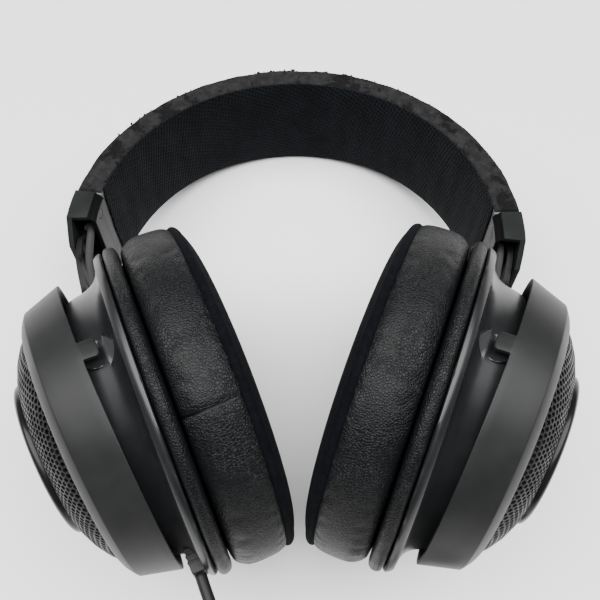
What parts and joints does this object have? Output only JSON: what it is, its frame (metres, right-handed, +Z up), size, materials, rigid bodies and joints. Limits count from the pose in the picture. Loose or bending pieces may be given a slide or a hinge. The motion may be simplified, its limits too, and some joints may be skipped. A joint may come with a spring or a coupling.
{
  "type": "wired over-ear headphones",
  "caption": "Over-ear headphones with round padded cups in tapered yoke rings, a padded headband on curved sliding arms, and a lead with a jack plug.",
  "frame": {"origin": "centre of the footprint of the set on the table, without its lead", "axes": "+X from the left cup to the right cup, +Y from the cups to the crown of the headband, +Z up from the table"},
  "size_m": [0.1764, 0.2819, 0.1096],
  "materials": {
    "worn_leather": "worn leatherette, matt with bare patches",
    "mesh_fabric": "dark mesh weave",
    "cushion_leather": "soft grained leatherette",
    "cushion_fabric": "fine dark knit",
    "foam": "open foam",
    "cap_plastic": "fine matt moulding",
    "liner_plastic": "matt moulding",
    "carrier_plastic": "plain moulding",
    "arm_metal": "satin black paint",
    "ring_plastic": "matt soft-touch coat",
    "grille_metal": "pierced sheet, satin black",
    "disc_plastic": "dark gloss moulding",
    "housing_plastic": "satin black moulding",
    "spring_steel": "plain strip",
    "screw_steel": "blackened",
    "magnet": "plated",
    "copper": "enamelled wire",
    "film": "thin film",
    "braid": "braided sleeve",
    "lead_rubber": "satin jacket",
    "plug_contacts": "plated contacts"
  },
  "bodies": {
    "headband": {"band_cover": "worn_leather", "band_frame": "carrier_plastic", "band_spring": "spring_steel", "band_foam": "foam", "band_fabric": "mesh_fabric", "cap_shell_left": "cap_plastic", "cap_liner_left": "liner_plastic", "cap_screws_left": "screw_steel", "cap_shell_right": "cap_plastic", "cap_liner_right": "liner_plastic", "cap_screws_right": "screw_steel"},
    "yoke_left": {"arm_left": "arm_metal", "arm_screws_left": "screw_steel", "yoke_ring_left": "ring_plastic", "grille_left": "grille_metal", "centre_disc_left": "disc_plastic", "pivot_pins_left": "screw_steel", "link_cable_left": "braid"},
    "yoke_right": {"arm_right": "arm_metal", "arm_screws_right": "screw_steel", "yoke_ring_right": "ring_plastic", "grille_right": "grille_metal", "centre_disc_right": "disc_plastic", "pivot_pins_right": "screw_steel", "link_cable_right": "braid"},
    "cup_left": {"housing_left": "housing_plastic", "baffle_left": "carrier_plastic", "baffle_screws_left": "screw_steel", "driver_frame_left": "carrier_plastic", "driver_pot_left": "spring_steel", "driver_magnet_left": "magnet", "voice_coil_left": "copper", "diaphragm_left": "film", "driver_guard_left": "grille_metal", "ear_screen_left": "mesh_fabric", "cushion_lip_left": "cushion_leather", "cushion_side_left": "cushion_leather", "cushion_foam_left": "foam", "cushion_front_left": "cushion_fabric", "strain_relief": "lead_rubber", "lead": "lead_rubber", "lead_coil": "lead_rubber", "lead_tail": "lead_rubber", "plug_body": "lead_rubber", "plug_pin": "plug_contacts"},
    "cup_right": {"housing_right": "housing_plastic", "baffle_right": "carrier_plastic", "baffle_screws_right": "screw_steel", "driver_frame_right": "carrier_plastic", "driver_pot_right": "spring_steel", "driver_magnet_right": "magnet", "voice_coil_right": "copper", "diaphragm_right": "film", "driver_guard_right": "grille_metal", "ear_screen_right": "mesh_fabric", "cushion_lip_right": "cushion_leather", "cushion_side_right": "cushion_leather", "cushion_foam_right": "foam", "cushion_front_right": "cushion_fabric"}
  },
  "joints": [
    {"name": "left_slide", "type": "hinge", "parent": "headband", "child": "yoke_left", "pos_m": [0, 0.01532, 0.03967], "axis": [0, 0.2571, 0.9664], "range_deg": [-9.6, 0], "deforming": ["link_cable_left"]},
    {"name": "right_slide", "type": "hinge", "parent": "headband", "child": "yoke_right", "pos_m": [0, 0.01532, 0.03967], "axis": [0, -0.2571, -0.9664], "range_deg": [0, 1], "deforming": ["link_cable_right"]},
    {"name": "left_tilt", "type": "hinge", "parent": "yoke_left", "child": "cup_left", "pos_m": [-0.05343, -0.05013, 0.05709], "axis": [0, -0.2571, -0.9664], "range_deg": [-1.5, 2]},
    {"name": "right_tilt", "type": "hinge", "parent": "yoke_right", "child": "cup_right", "pos_m": [0.05343, -0.05013, 0.05709], "axis": [0, 0.2571, 0.9664], "range_deg": [-1.5, 5]}
  ]
}
